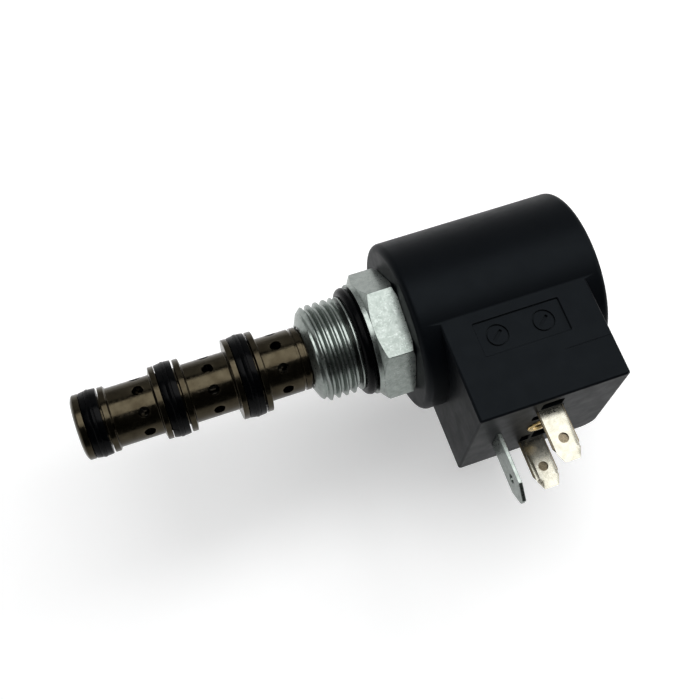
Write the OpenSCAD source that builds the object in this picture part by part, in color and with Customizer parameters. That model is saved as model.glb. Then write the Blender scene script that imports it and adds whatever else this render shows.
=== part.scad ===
// Screw-in solenoid cartridge valve, four ports and two positions, with its plug-in coil.
// Frame: the valve axis is X, from the nose of the sleeve (-X) to the coil nut (+X).
// The origin is on the axis at the seat face, the underside of the hexagon.
// +Z is the flat panel on the coil's terminal block and -Y is the way the contact blades point.
// All lengths are in millimetres.

/* [Sleeve] */
// Length from the nose to the seat face
cartridge_len = 56; // [55:0.5:57]
// Diameter of the bore that the spool runs in
sleeve_bore_d = 7.2; // [7.0:0.05:7.3]
// Diameter of the land at the nose
nose_land_d = 12.6; // [12.5:0.05:12.65]
// Diameter of the middle land
middle_land_d = 14.2; // [14.1:0.05:14.25]
// Diameter of the upper land, nearest the thread
upper_land_d = 15.86; // [15.7:0.02:15.9]
// Diameter of the sleeve between its lands, at the first two rows of ports
sleeve_d = 11.5; // [11.3:0.1:11.7]
// Diameter of the sleeve at the third row of ports and where it enters the adapter
shank_d = 12.4; // [12.3:0.05:12.5]
// Distance from the nose to the first row of ports
first_port_x = 12.5; // [12.3:0.1:12.7]
// Distance between rows of ports
port_pitch = 13.4; // [13.3:0.05:13.5]
// Diameter of a port
port_d = 2.1; // [1.8:0.05:2.3]
// Number of ports in a row
port_count = 8; // [6:1:8]

/* [Seals] */
// Width of each seal groove in the sleeve
groove_w = 3.7; // [3.6:0.05:3.8]
// Section diameter of the three sleeve O-rings
ring_section = 1.78; // [1.7:0.02:1.8]
// Width of each backup ring
backup_w = 0.7; // [0.6:0.05:0.75]
// Height that the sleeve O-rings stand above their lands
ring_proud = 0.3; // [0.2:0.05:0.35]
// Section diameter of the seat O-ring under the hexagon
seat_ring_section = 2.21; // [2.1:0.01:2.25]
// Outer diameter of the seat O-ring
seat_ring_od = 21.6; // [21.4:0.1:21.8]

/* [Adapter] */
// Major diameter of the cavity thread, 3/4-16 UNF
thread_d = 19.05; // [19.0:0.05:19.1]
// Distance from the seat face to the thread's lower end
thread_end = 11.5; // [11.3:0.1:11.6]
// Hexagon across its flats, 7/8 inch
hex_af = 22.225; // [22.0:0.025:22.5]
// Diameter that the hexagon's corners are turned to
hex_corner_d = 25.6; // [25.2:0.1:25.6]
// Height of the hexagon with its round collar
hex_h = 7.2; // [7.0:0.1:7.2]

/* [Solenoid] */
// Outer diameter of the guide tube
tube_d = 12.7; // [12.6:0.05:12.7]
// Wall of the guide tube
tube_wall = 0.85; // [0.8:0.05:0.95]
// Travel of the spool and the armature
stroke = 2.4; // [2.2:0.1:2.4]
// Outer diameter of the coil
coil_d = 33.66; // [33.2:0.02:34.0]
// Length of the coil
coil_len = 37.6; // [37.4:0.1:37.7]
// Round on the coil's front edge
coil_front_round = 1.3; // [1:0.1:1.5]
// Diameter of the magnet wire as wound
wire_d = 0.9; // [0.8:0.05:1.0]

/* [Terminal block] */
// Length of the block along the valve axis
block_len = 29.6; // [29:0.1:30]
// Distance from the coil's front face to the block
block_gap = 4.3; // [4.1:0.1:4.4]
// Distance from the valve axis to the face that the contacts leave
contact_face = 27.5; // [27.3:0.1:27.8]
// Height of the panel face above the valve axis
panel_height = 15; // [14.8:0.1:15.2]
// Depth of the block below the valve axis
block_drop = 13.5; // [13:0.1:14]
// Distance between contacts 1 and 2
contact_spacing = 18; // [17.9:0.1:18.1]
// Width of contacts 1 and 2
blade_w = 5.3; // [5.2:0.1:5.6]
// Thickness of every contact
blade_t = 0.8; // [0.75:0.05:0.85]
// Reach of contacts 1 and 2 beyond the face
blade_reach = 10.5; // [10:0.1:11]
// Reach of the ground contact beyond the face
ground_reach = 13; // [12.5:0.1:13.2]

/* [Hidden] */

$fn = 96;
slip = 0.02;       // gap between pieces that are pressed or glued together
running = 0.04;    // radial clearance of the spool in its sleeve
free_gap = 0.1;    // gap between a turning coil and what it turns on
cut = 0.5;         // how far a cutting tool passes the face that it cuts

nose_x = -cartridge_len;
port_rows = [for (row = [0:2]) nose_x + first_port_x + row * port_pitch];
port_phase = 28.3;

// Seal grooves: where each starts, and the diameter of the lands on both sides of it
groove_x = [nose_x + 1.7, nose_x + 16.4, nose_x + 31];
land_d = [nose_land_d, middle_land_d, upper_land_d];
shoulder = 1.05;
flank = 0.3;
nose_round = 0.6;
nose_bevel = 0.3;
nose_bevel_r = 5.95;
nose_face_r = 5.2;
undercut_x = -13.45;
collar_x = -12.95;
undercut_r = 5.7;
waist_x = -12;
waist_end = -11.3;
waist_r = 5.6;
sleeve_top = -5;
stack_lead = 0.12;
front_ring_steps = [-0.02, 0.14];   // heights of the front backup ring above its land
rear_ring_steps = [0.1, 0.2];       // the same for the rear one: at its far side, and at its tip
ring_bevel = 0.12;
ring_gap = 0.01;

thread_r = thread_d / 2;
thread_tip_r = 7.1;
thread_tip_len = 1.9;
thread_top = -3.5;
relief_x = -3.15;
relief_r = 8;
lip_x = -2.65;
lip_w = 0.35;
lip_r = 9.35;
seat_groove_r = seat_ring_od / 2 - seat_ring_section - slip;
seat_relief_r = seat_ring_od / 2 + 0.05;
seat_relief = 0.1;        // depth that the seat face is cut back inside its rim, for the O-ring
hex_phase = 43.7;
hex_chamfer = 30;
collar_r = 11.05;
collar_h = 0.9;
hex_top_r = 11.9;

tube_r = tube_d / 2;
tube_bore_r = tube_r - tube_wall;
tube_start = -1;
tube_end = 40.1;
throat_r = 5.6;

armature_x = 1.5;
armature_end = 24;
armature_r = tube_bore_r - 0.08;
shim_t = 0.15;
pole_x = armature_end + stroke + 0.05 + shim_t;
pole_flange = 0.8;
stud_r = 5;
stud_end = 46.3;
pocket_r = 2.6;
armature_pocket = 16;
pole_pocket = 32.6;
spring_r = 2.1;
spring_wire = 0.7;
spring_turns = 9;
spring_ends = 1;

spool_r = sleeve_bore_d / 2 - running;
neck_r = 2.4;
spool_bore_r = 1.2;
land_w = port_d + 0.2;
spool_nose = nose_x + 2;
guide_w = 3.5;
guide_flat = 5.6;
upper_guide = -12;
upper_guide_w = 4;
stem_r = 1.8;
hook_r = 2.8;
hook_x = 3.5;
hook_t = 1.3;
hook_play = 0.1;

coil_x = hex_h + free_gap;
coil_end = coil_x + coil_len;
coil_r = coil_d / 2;
coil_rear_round = 1.2;
end_wall = 2;
recess_r = 8.3;
core_r = 14.9;
washer_t = 2.5;
washer_bore_r = tube_r + free_gap;
frame_x = coil_x + end_wall;
frame_end = coil_end - 3.8;
frame_wall = 1.35;
bobbin_flange = 1.2;
bobbin_wall = 0.9;
bobbin_r = 13.3;
winding_layers = 6;
winding_r = washer_bore_r + bobbin_wall + 0.1;
nut_x = frame_end + 0.05;
nut_r = 8.1;
nut_skirt = 3.4;
nut_end = stud_end + 0.6;
nut_af = 14;
nut_seal_section = 1.3;
front_seal_section = 1.8;

block_x = coil_x + block_gap;
block_end = block_x + block_len;
contact_x = block_x + 14.8;
panel_x = block_x + 5.75;
panel_len = 17.1;
panel_y = -16.15;
panel_w = 6.7;
panel_depth = 0.35;
date_r = 2.2;
date_x = [panel_x + 3.7, panel_x + 12.9];
date_groove = 0.25;
seam_x = panel_x + panel_len - 2.8;
seam_y = -19.6;
contact_z = contact_spacing / 2;
contact_root = 19.5;
ground_x = contact_x - contact_z;
ground_w = 6.3;
insert_r = 2.3;
insert_flange_r = 2.6;
insert_flange = 0.8;
insert_depth = 7.5;
insert_proud = 0.3;
screw_r = 1.25;
pocket_depth = 2.5;
upper_pockets = [[-2.8, -0.8, 4.4, 6.8], [0.8, 2.8, 4.4, 6.8]];      // from x, to x, from z, to z
lower_pockets = [[-2.8, -0.9, -7.9, -4.9], [-0.3, 3, -7.9, -4]];
notch_size = [4.2, 2, 3];
block_round = 3;
block_edge = 0.6;
lead_r = 0.4;
lead_foot = [contact_x, -11.9, 5.2];
lead_head = [contact_x, -contact_root + lead_r / 2, contact_z];

bronze_steel = [0.36, 0.31, 0.25];
zinc = [0.66, 0.68, 0.68];
steel = [0.72, 0.73, 0.74];
black_rubber = [0.09, 0.09, 0.11];
coil_black = [0.20, 0.22, 0.25];
nickel = [0.80, 0.78, 0.72];
brass = [0.80, 0.68, 0.38];
copper = [0.72, 0.42, 0.25];
nylon = [0.85, 0.83, 0.76];

// ---- shared shapes ----

// Turns a solid of revolution, drawn as [radius, distance], onto the valve axis
module on_axis() {
    rotate([0, 90, 0]) children();
}

// A solid of revolution about the valve axis
module turned(profile) {
    on_axis() rotate_extrude() polygon(profile);
}

// A plain ring about the valve axis
module ring(x0, x1, r_in, r_out) {
    turned([[r_in, x0], [r_out, x0], [r_out, x1], [r_in, x1]]);
}

// A round bar along the valve axis
module bar(x0, x1, r) {
    translate([x0, 0, 0]) rotate([0, 90, 0]) cylinder(r = r, h = x1 - x0);
}

// An O-ring about the valve axis, from the middle of its section
module oring(x, r_out, section) {
    translate([x, 0, 0]) on_axis() rotate_extrude()
        translate([r_out - section / 2, 0]) circle(d = section, $fn = 48);
}

// The axial middle of the O-ring in sleeve groove number i
function ring_x(i) = groove_x[i] + stack_lead + backup_w + ring_section / 2;
// The floor radius of sleeve groove number i
function floor_r(i) = land_d[i] / 2 + ring_proud - ring_section - slip;

// The two backup rings beside the O-ring in groove number i, each hollowed to fit round it
module backup_pair(i) {
    middle = ring_x(i) + ring_gap;
    reach = ring_section / 2 + ring_gap;
    centre = land_d[i] / 2 + ring_proud - ring_section / 2;
    inner = floor_r(i) + slip;
    for (item = [[-1, front_ring_steps], [1, rear_ring_steps]]) {
        side = item[0];
        far = land_d[i] / 2 + item[1][0];
        tip = land_d[i] / 2 + item[1][1];
        lap = sqrt(pow(reach, 2) - pow(tip - centre, 2)) + 0.06;
        outline = [
            [inner, reach], [centre, reach], [centre + 0.6 * reach, 0.6 * reach], [tip, lap],
            [far, reach + backup_w - ring_bevel], [far - ring_bevel, reach + backup_w],
            [inner, reach + backup_w]
        ];
        translate([middle, 0, 0]) on_axis() rotate_extrude() difference() {
            polygon([for (p = outline) [p[0], side * p[1]]]);
            translate([centre, 0]) circle(r = reach, $fn = 48);
        }
    }
}

// A rectangle from its corners, with a round on each corner given anticlockwise from the lower left
module rounded_plate(low, high, r) {
    corner = [low, [high[0], low[1]], high, [low[0], high[1]]];
    inward = [[1, 1], [-1, 1], [-1, -1], [1, -1]];
    difference() {
        translate(low) square(high - low);
        for (i = [0:3]) {
            away = [inward[i][0] * r[i], inward[i][1] * r[i]];
            difference() {
                translate(corner[i] - cut * inward[i])
                    translate([min(0, inward[i][0]) * (r[i] + cut), min(0, inward[i][1]) * (r[i] + cut)])
                    square(r[i] + cut);
                translate(corner[i] + away) circle(r = r[i], $fn = 48);
            }
        }
    }
}

// ---- hydraulic cartridge ----

module sleeve() {
    g = groove_x;
    low_r = sleeve_d / 2;
    high_r = shank_d / 2;
    color(bronze_steel) difference() {
        turned([
            [sleeve_bore_d / 2, nose_x], [nose_face_r, nose_x],
            [nose_bevel_r, nose_x + nose_bevel], [nose_land_d / 2, nose_x + nose_round],
            [nose_land_d / 2, g[0]], [floor_r(0), g[0]],
            [floor_r(0), g[0] + groove_w], [nose_land_d / 2, g[0] + groove_w],
            [nose_land_d / 2, g[0] + groove_w + shoulder], [low_r, g[0] + groove_w + shoulder + flank],
            [low_r, g[1] - shoulder - flank], [middle_land_d / 2, g[1] - shoulder],
            [middle_land_d / 2, g[1]], [floor_r(1), g[1]],
            [floor_r(1), g[1] + groove_w], [middle_land_d / 2, g[1] + groove_w],
            [middle_land_d / 2, g[1] + groove_w + shoulder], [low_r, g[1] + groove_w + shoulder + flank],
            [low_r, g[2] - shoulder - flank], [upper_land_d / 2, g[2] - shoulder],
            [upper_land_d / 2, g[2]], [floor_r(2), g[2]],
            [floor_r(2), g[2] + groove_w], [upper_land_d / 2, g[2] + groove_w],
            [upper_land_d / 2, g[2] + groove_w + shoulder], [high_r, g[2] + groove_w + shoulder + flank],
            [high_r, undercut_x], [undercut_r, undercut_x], [undercut_r, collar_x],
            [high_r, collar_x], [high_r, waist_x], [waist_r, waist_x], [waist_r, waist_end],
            [high_r, waist_end], [high_r, sleeve_top], [sleeve_bore_d / 2, sleeve_top]
        ]);
        for (x = port_rows, k = [0:port_count - 1])
            translate([x, 0, 0]) rotate([port_phase + k * 360 / port_count, 0, 0])
                rotate([-90, 0, 0]) cylinder(d = port_d, h = upper_land_d, $fn = 32);
    }
}

module hex_adapter() {
    socket_r = shank_d / 2 + slip;
    slope = tan(hex_chamfer);
    corner_r = hex_corner_d / 2;
    low = collar_h + (corner_r - collar_r) * slope;
    high = hex_h - (corner_r - hex_top_r) * slope;
    color(zinc) difference() {
        union() {
            turned([
                [0, -thread_end], [thread_tip_r, -thread_end], [thread_r, -thread_end + thread_tip_len],
                [thread_r, thread_top], [relief_r, relief_x], [relief_r, lip_x],
                [lip_r, lip_x], [lip_r, lip_x + lip_w], [seat_groove_r, lip_x + lip_w],
                [seat_groove_r, collar_h], [0, collar_h]
            ]);
            intersection() {
                rotate([hex_phase, 0, 0]) on_axis() cylinder(r = hex_af / sqrt(3), h = hex_h, $fn = 6);
                turned([
                    [0, collar_h], [collar_r, collar_h], [corner_r, low],
                    [corner_r, high], [hex_top_r, hex_h], [0, hex_h]
                ]);
            }
            turned([
                [0, seat_relief], [seat_relief_r, seat_relief], [seat_relief_r, 0],
                [collar_r, 0], [collar_r, collar_h + slip], [0, collar_h + slip]
            ]);
        }
        bar(-thread_end - cut, sleeve_top + slip, socket_r);
        bar(sleeve_top - cut, tube_start + cut, throat_r);
        bar(tube_start - slip, hex_h + cut, tube_r + slip);
    }
}

module guide_tube() {
    color(steel) ring(tube_start, tube_end, tube_bore_r, tube_r);
}

module pole_piece() {
    body_r = tube_bore_r - slip;
    flange_end = tube_end + slip + pole_flange;
    color(steel) turned([
        [pocket_r, pole_x], [body_r - 0.4, pole_x], [body_r, pole_x + 0.4],
        [body_r, tube_end + slip], [tube_r, tube_end + slip], [tube_r, flange_end],
        [stud_r - 0.6, flange_end], [stud_r - 0.6, flange_end + 0.6], [stud_r, flange_end + 1.2],
        [stud_r, stud_end - 0.7], [stud_r - 0.7, stud_end], [0, stud_end],
        [0, pole_pocket], [pocket_r, pole_pocket]
    ]);
}

module gap_shim() {
    color(brass) ring(pole_x - shim_t - slip / 2, pole_x - slip / 2, pocket_r + 0.2, tube_bore_r - 0.5);
}

// Axial place and angle of a point a part of the way, 0 to 1, along the spring's wire
function spring_angle(t) = 360 * (spring_turns + 2 * spring_ends) * t;
function spring_rise(t) =
    let (turns = spring_turns + 2 * spring_ends, now = turns * t, closed = spring_wire * 1.02)
    let (free = pole_pocket - armature_pocket - spring_wire * 1.04 - 2 * spring_ends * closed)
    now < spring_ends ? now * closed
    : now > spring_turns + spring_ends
        ? spring_ends * closed + free + (now - spring_turns - spring_ends) * closed
        : spring_ends * closed + free * (now - spring_ends) / spring_turns;

// The return spring: one swept wire with eight sides, closed and squared at both ends
module return_spring() {
    sides = 8;
    steps = 14 * (spring_turns + 2 * spring_ends);
    start = armature_pocket + spring_wire * 0.52;
    rings = [for (i = [0:steps], s = [0:sides - 1])
        let (t = i / steps, a = spring_angle(t), b = 360 * s / sides)
        let (r = spring_r + cos(b) * spring_wire / 2)
        [start + spring_rise(t) + sin(b) * spring_wire / 2, r * cos(a), r * sin(a)]];
    walls = [for (i = [0:steps - 1], s = [0:sides - 1])
        let (a = i * sides + s, b = i * sides + (s + 1) % sides)
        each [[a, b, b + sides], [a, b + sides, a + sides]]];
    caps = [
        [for (s = [sides - 1:-1:0]) s],
        [for (s = [0:sides - 1]) steps * sides + s]
    ];
    color(steel) polyhedron(rings, concat(walls, caps), convexity = 6);
}

module nose_oring() {
    color(black_rubber) oring(ring_x(0) + ring_gap, nose_land_d / 2 + ring_proud, ring_section);
}

module middle_oring() {
    color(black_rubber) oring(ring_x(1) + ring_gap, middle_land_d / 2 + ring_proud, ring_section);
}

module upper_oring() {
    color(black_rubber) oring(ring_x(2) + ring_gap, upper_land_d / 2 + ring_proud, ring_section);
}

module seat_oring() {
    middle = (lip_x + lip_w + seat_relief) / 2;
    color(black_rubber) oring(middle, seat_ring_od / 2, seat_ring_section);
}

module nose_backup_rings() {
    color(black_rubber) backup_pair(0);
}

module middle_backup_rings() {
    color(black_rubber) backup_pair(1);
}

module upper_backup_rings() {
    color(black_rubber) backup_pair(2);
}

// The spool: two lands that share a long neck, guides at both ends and a hook for the armature
module spool() {
    lead = stroke / 2;
    lands = [port_rows[0] - lead, port_rows[2] - lead];
    guide_end = upper_guide + upper_guide_w;
    bore_end = upper_guide - 0.8;
    color(steel) difference() {
        union() {
            intersection() {
                bar(spool_nose, spool_nose + guide_w, spool_r);
                translate([spool_nose - cut, -guide_flat / 2, -guide_flat / 2])
                    cube([guide_w + 2 * cut, guide_flat, guide_flat]);
            }
            bar(spool_nose, upper_guide + cut, neck_r);
            for (x = lands) bar(x - land_w / 2, x + land_w / 2, spool_r);
            difference() {
                bar(upper_guide, guide_end, spool_r);
                for (i = [1:3])
                    ring(upper_guide + i - 0.15, upper_guide + i + 0.15, spool_r - 0.25, spool_r + cut);
            }
            bar(guide_end - cut, hook_x + cut, stem_r);
            bar(hook_x, hook_x + hook_t, hook_r);
        }
        bar(spool_nose - cut, bore_end, spool_bore_r);
        for (a = [0, 90])
            translate([bore_end - 1.4, 0, 0]) rotate([a, 0, 0])
                rotate([90, 0, 0]) cylinder(r = 0.8, h = 4 * neck_r, center = true, $fn = 32);
    }
}

// The armature: a soft iron plunger with a side-entry slot for the hook and a pocket for the spring
module armature() {
    slot_r = stem_r + hook_play;
    hook_slot_r = hook_r + hook_play;
    hook_end = hook_x + hook_t + hook_play;
    groove = 1.2;
    color(steel) difference() {
        turned([
            [0, armature_x], [armature_r - 0.5, armature_x], [armature_r, armature_x + 0.5],
            [armature_r, armature_end - 0.5], [armature_r - 0.5, armature_end], [0, armature_end]
        ]);
        bar(armature_x - cut, hook_x, slot_r);
        translate([armature_x - cut, -slot_r, 0]) cube([hook_x - armature_x + cut, 2 * slot_r, tube_r]);
        bar(hook_x - hook_play, hook_end, hook_slot_r);
        translate([hook_x - hook_play, -hook_slot_r, 0])
            cube([hook_end - hook_x + hook_play, 2 * hook_slot_r, tube_r]);
        bar(armature_pocket, armature_end + cut, pocket_r);
        for (side = [-1, 1])
            translate([armature_x - cut, side * armature_r - groove / 2, -groove / 2])
                cube([armature_end - armature_x + 2 * cut, groove, groove]);
    }
}

// ---- coil ----

module front_coil_seal() {
    color(black_rubber) oring(coil_x + end_wall / 2, tube_r + front_seal_section + slip, front_seal_section);
}

module nut_seal() {
    color(black_rubber) oring(nut_x + nut_skirt / 2, recess_r + 0.05, nut_seal_section);
}

module coil_nut() {
    seal_r = recess_r + 0.05 - nut_seal_section - slip;
    seal_x = nut_x + nut_skirt / 2;
    groove = nut_seal_section / 2 + 0.15;
    hex_x = nut_x + nut_skirt;
    color(zinc) difference() {
        union() {
            turned([
                [0, nut_x], [nut_r, nut_x], [nut_r, seal_x - groove], [seal_r, seal_x - groove],
                [seal_r, seal_x + groove], [nut_r, seal_x + groove], [nut_r, hex_x], [0, hex_x]
            ]);
            intersection() {
                bar(hex_x - cut, nut_end, nut_af / sqrt(3) - 0.3);
                translate([hex_x - cut, 0, 0]) on_axis()
                    cylinder(r = nut_af / sqrt(3), h = nut_end - hex_x + cut, $fn = 6);
            }
        }
        bar(nut_x - cut, nut_end + cut, stud_r + slip);
    }
}

// The outer form of the coil: a round body and the terminal block, blended into one moulding
module coil_outer() {
    front = coil_x + coil_front_round;
    on_axis() rotate_extrude() union() {
        square_x = coil_r - coil_front_round;
        translate([0, front]) square([coil_r, coil_end - coil_rear_round - front]);
        translate([0, coil_x]) square([square_x, coil_len]);
        translate([square_x, front]) circle(r = coil_front_round, $fn = 48);
        translate([0, coil_end - coil_rear_round - cut])
            square([coil_r - coil_rear_round, coil_rear_round + cut]);
        translate([coil_r - coil_rear_round, coil_end - coil_rear_round])
            circle(r = coil_rear_round, $fn = 48);
    }
    intersection() {
        edge = block_edge;
        rotate([90, 0, 0]) linear_extrude(contact_face)
            rounded_plate([block_x, -block_drop], [block_end, panel_height], [edge, block_round, edge, edge]);
        translate([block_x - cut, 0, 0]) rotate([90, 0, 90]) linear_extrude(block_len + 2 * cut)
            rounded_plate([-contact_face, -block_drop], [0, panel_height], [edge, 0.01, 0.01, edge]);
    }
}

// The slot that holds a contact: its size is the contact's own, with a glue gap
module contact_slot(z) {
    translate([contact_x - blade_w / 2 - slip, -contact_face - cut, z - blade_t / 2 - slip])
        cube([blade_w + 2 * slip, contact_face - contact_root + cut, blade_t + 2 * slip]);
}

module coil_shell() {
    color(coil_black) difference() {
        coil_outer();
        ring(frame_x, frame_end, 0, core_r);
        bar(coil_x - cut, frame_x + cut, recess_r);
        bar(frame_end - cut, coil_end + cut, recess_r + 0.1);
        translate([panel_x, panel_y, panel_height - panel_depth]) cube([panel_len, panel_w, 1]);
        for (x = date_x) translate([x, panel_y + panel_w / 2, panel_height - panel_depth - 0.15])
            difference() {
                cylinder(r = date_r, h = 1);
                translate([0, 0, -cut]) cylinder(r = date_r - date_groove, h = 2);
            }
        translate([seam_x, seam_y, panel_height - 0.1]) cube([block_end - seam_x + cut, 0.2, 1]);
        for (z = [-contact_z, contact_z]) contact_slot(z);
        translate([ground_x - blade_t / 2 - slip, -contact_face - cut, -ground_w / 2 - slip])
            cube([blade_t + 2 * slip, contact_face, ground_w + 2 * slip]);
        translate([contact_x, -contact_face + insert_depth, 0]) rotate([90, 0, 0])
            cylinder(r = insert_r + slip, h = insert_depth + cut, $fn = 48);
        translate([contact_x, -contact_face + insert_flange, 0]) rotate([90, 0, 0])
            cylinder(r = insert_flange_r + slip, h = insert_flange + cut, $fn = 48);
        for (box = concat(upper_pockets, lower_pockets))
            translate([contact_x + box[0], -contact_face - cut, box[2]])
                cube([box[1] - box[0], pocket_depth + cut, box[3] - box[2]]);
        translate([contact_x - notch_size[0] / 2, -contact_face - cut, contact_z + blade_t / 2 + 0.7])
            cube([notch_size[0], notch_size[1] + cut, notch_size[2]]);
        for (side = [-1, 1]) lead(side, lead_r + slip, cut);
    }
}

// A lead from a contact's root to the winding: a straight stub, with some extra length at its root
module lead(side, r, extra) {
    head = [lead_head[0], lead_head[1], side * lead_head[2]];
    foot = [lead_foot[0], lead_foot[1], side * lead_foot[2]];
    run = foot - head;
    lean = atan2(run[2], run[1]);
    translate(head) rotate([lean, 0, 0]) translate([0, -extra, 0])
        rotate([-90, 0, 0]) cylinder(r = r, h = norm(run) + extra, $fn = 32);
}

module lead_1() {
    color(copper) lead(1, lead_r, 0);
}

module lead_2() {
    color(copper) lead(-1, lead_r, 0);
}

module bobbin() {
    x0 = frame_x + washer_t + slip;
    x1 = frame_end - washer_t - slip;
    inner = washer_bore_r;
    outer = inner + bobbin_wall;
    color(nylon) turned([
        [inner, x0], [bobbin_r, x0], [bobbin_r, x0 + bobbin_flange], [outer, x0 + bobbin_flange],
        [outer, x1 - bobbin_flange], [bobbin_r, x1 - bobbin_flange], [bobbin_r, x1], [inner, x1]
    ]);
}

// The winding: a plain ring as large as all its layers of wire together
module winding() {
    end_gap = washer_t + bobbin_flange + 2 * slip;
    color(copper)
        ring(frame_x + end_gap, frame_end - end_gap, winding_r, winding_r + winding_layers * wire_d);
}

module flux_frame() {
    inner = core_r - slip - frame_wall;
    window = 6;
    color(steel) difference() {
        ring(frame_x + washer_t + slip, frame_end - washer_t - slip, inner, core_r - slip);
        translate([contact_x - window / 2, -core_r - cut, -8]) cube([window, core_r, 16]);
    }
}

module front_flux_washer() {
    color(steel) ring(frame_x + slip, frame_x + washer_t, washer_bore_r, core_r - slip);
}

module rear_flux_washer() {
    color(steel) ring(frame_end - washer_t, frame_end - slip, washer_bore_r, core_r - slip);
}

// A plug-in contact with a chamfered tip and a round window, lying across the Z axis
module contact(z) {
    half = blade_w / 2;
    tip = 1.2;
    tip_len = 1.5;
    reach = contact_face + blade_reach;
    color(nickel) translate([contact_x, 0, z - blade_t / 2]) difference() {
        linear_extrude(blade_t) polygon([
            [-half, -contact_root], [half, -contact_root], [half, -reach + tip_len],
            [tip, -reach], [-tip, -reach], [-half, -reach + tip_len]
        ]);
        translate([0, -contact_face - 6, -cut]) cylinder(r = 1, h = blade_t + 2 * cut, $fn = 48);
    }
}

module contact_1() {
    contact(contact_z);
}

module contact_2() {
    contact(-contact_z);
}

// The ground contact lies across the valve axis, with a long pointed tip, and reaches the flux frame
module ground_contact() {
    half = ground_w / 2;
    reach = contact_face + ground_reach;
    tip = 0.8;
    tip_len = 3;
    root = core_r + slip;
    color(zinc) translate([ground_x - blade_t / 2, 0, 0]) rotate([90, 0, 90]) difference() {
        linear_extrude(blade_t) polygon([
            [-root, -half], [-root, half], [-reach + tip_len, half],
            [-reach, tip], [-reach, -tip], [-reach + tip_len, -half]
        ]);
        translate([-contact_face - 8, 0, -cut]) cylinder(r = 0.9, h = blade_t + 2 * cut, $fn = 48);
    }
}

// The threaded insert that the plug's centre screw goes into
module screw_insert() {
    proud = insert_proud;
    color(brass) translate([contact_x, -contact_face - proud, 0]) rotate([-90, 0, 0])
        rotate_extrude() polygon([
            [screw_r + 0.3, 0], [insert_flange_r - 0.2, 0], [insert_flange_r, 0.2],
            [insert_flange_r, proud + insert_flange - slip], [insert_r, proud + insert_flange - slip],
            [insert_r, proud + insert_depth - slip], [screw_r, proud + insert_depth - slip], [screw_r, 0.3]
        ]);
}

sleeve();
hex_adapter();
guide_tube();
pole_piece();
gap_shim();
return_spring();
nose_oring();
middle_oring();
upper_oring();
seat_oring();
nose_backup_rings();
middle_backup_rings();
upper_backup_rings();
front_coil_seal();
nut_seal();
coil_nut();
spool();
armature();
coil_shell();
bobbin();
winding();
flux_frame();
front_flux_washer();
rear_flux_washer();
contact_1();
contact_2();
ground_contact();
screw_insert();
lead_1();
lead_2();
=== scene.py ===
"""Looks of a screw-in solenoid cartridge valve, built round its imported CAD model.

X is the valve axis, from the nose of the sleeve to the coil nut. +Z is the flat panel on the
coil's terminal block and -Y is the way the contact blades point. The sizes here are in
millimetres; the meshes are made in metres, where the CAD model says.
"""
import math

import bmesh
import bpy
from mathutils import Matrix, Vector


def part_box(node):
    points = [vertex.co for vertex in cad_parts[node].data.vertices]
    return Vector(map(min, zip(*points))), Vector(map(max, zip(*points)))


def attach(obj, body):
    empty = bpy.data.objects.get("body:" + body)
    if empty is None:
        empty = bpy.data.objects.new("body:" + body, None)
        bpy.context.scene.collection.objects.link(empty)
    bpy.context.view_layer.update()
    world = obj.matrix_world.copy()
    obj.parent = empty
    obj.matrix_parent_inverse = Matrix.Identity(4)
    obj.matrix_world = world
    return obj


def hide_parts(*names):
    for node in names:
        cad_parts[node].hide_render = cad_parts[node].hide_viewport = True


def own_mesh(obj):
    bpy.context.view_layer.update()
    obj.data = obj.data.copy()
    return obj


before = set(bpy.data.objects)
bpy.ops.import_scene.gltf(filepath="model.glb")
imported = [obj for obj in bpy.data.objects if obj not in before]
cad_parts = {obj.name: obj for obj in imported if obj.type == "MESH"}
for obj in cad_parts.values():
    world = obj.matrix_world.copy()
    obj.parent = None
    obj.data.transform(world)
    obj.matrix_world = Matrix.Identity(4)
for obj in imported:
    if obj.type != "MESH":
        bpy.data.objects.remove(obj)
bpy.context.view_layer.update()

MM = 0.001
SIDES = 144          # straight sides to a full turn of a large round piece
FINE_SIDES = 96      # the same for a small one
MERGE = 2e-8         # points closer than this are one point, in metres
SLIP = 0.02          # gap between pieces that nest
VALVE, COIL = "valve_body", "coil"
LANDS = {"nose": 6.3, "middle": 7.1, "upper": 7.93}      # radius of the sleeve's land at each seal


def span(node):
    """Lowest and highest corner of a CAD node at rest, in millimetres."""
    low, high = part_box(node)
    return low / MM, high / MM


# ---- mesh tools ----

def around(x, radius, angle):
    """A point on a circle about the valve axis; the angle goes from +Y towards +Z."""
    return Vector((x, radius * math.cos(angle), radius * math.sin(angle))) * MM


def turn_angles(sides):
    """The angles of a full turn's corners, in radians."""
    return [2 * math.pi * i / sides for i in range(sides)]


def stitch(bm, low, high, low_next=None, high_next=None):
    """Quads between two closed rows of points. Where a row's end doesn't meet its own start,
    low_next and high_next are the points that it goes on to."""
    after_low = low[1:] + [low_next or low[0]]
    after_high = high[1:] + [high_next or high[0]]
    for corners in zip(low, after_low, after_high, high):
        distinct = list(dict.fromkeys(corners))
        if len(distinct) > 2:
            bm.faces.new(distinct)


def tidy(bm):
    """Merges coincident points, drops collapsed faces and turns every face outward."""
    bmesh.ops.remove_doubles(bm, verts=bm.verts, dist=MERGE)
    bmesh.ops.dissolve_degenerate(bm, edges=bm.edges, dist=MERGE)
    bmesh.ops.recalc_face_normals(bm, faces=bm.faces)
    return bm


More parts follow.
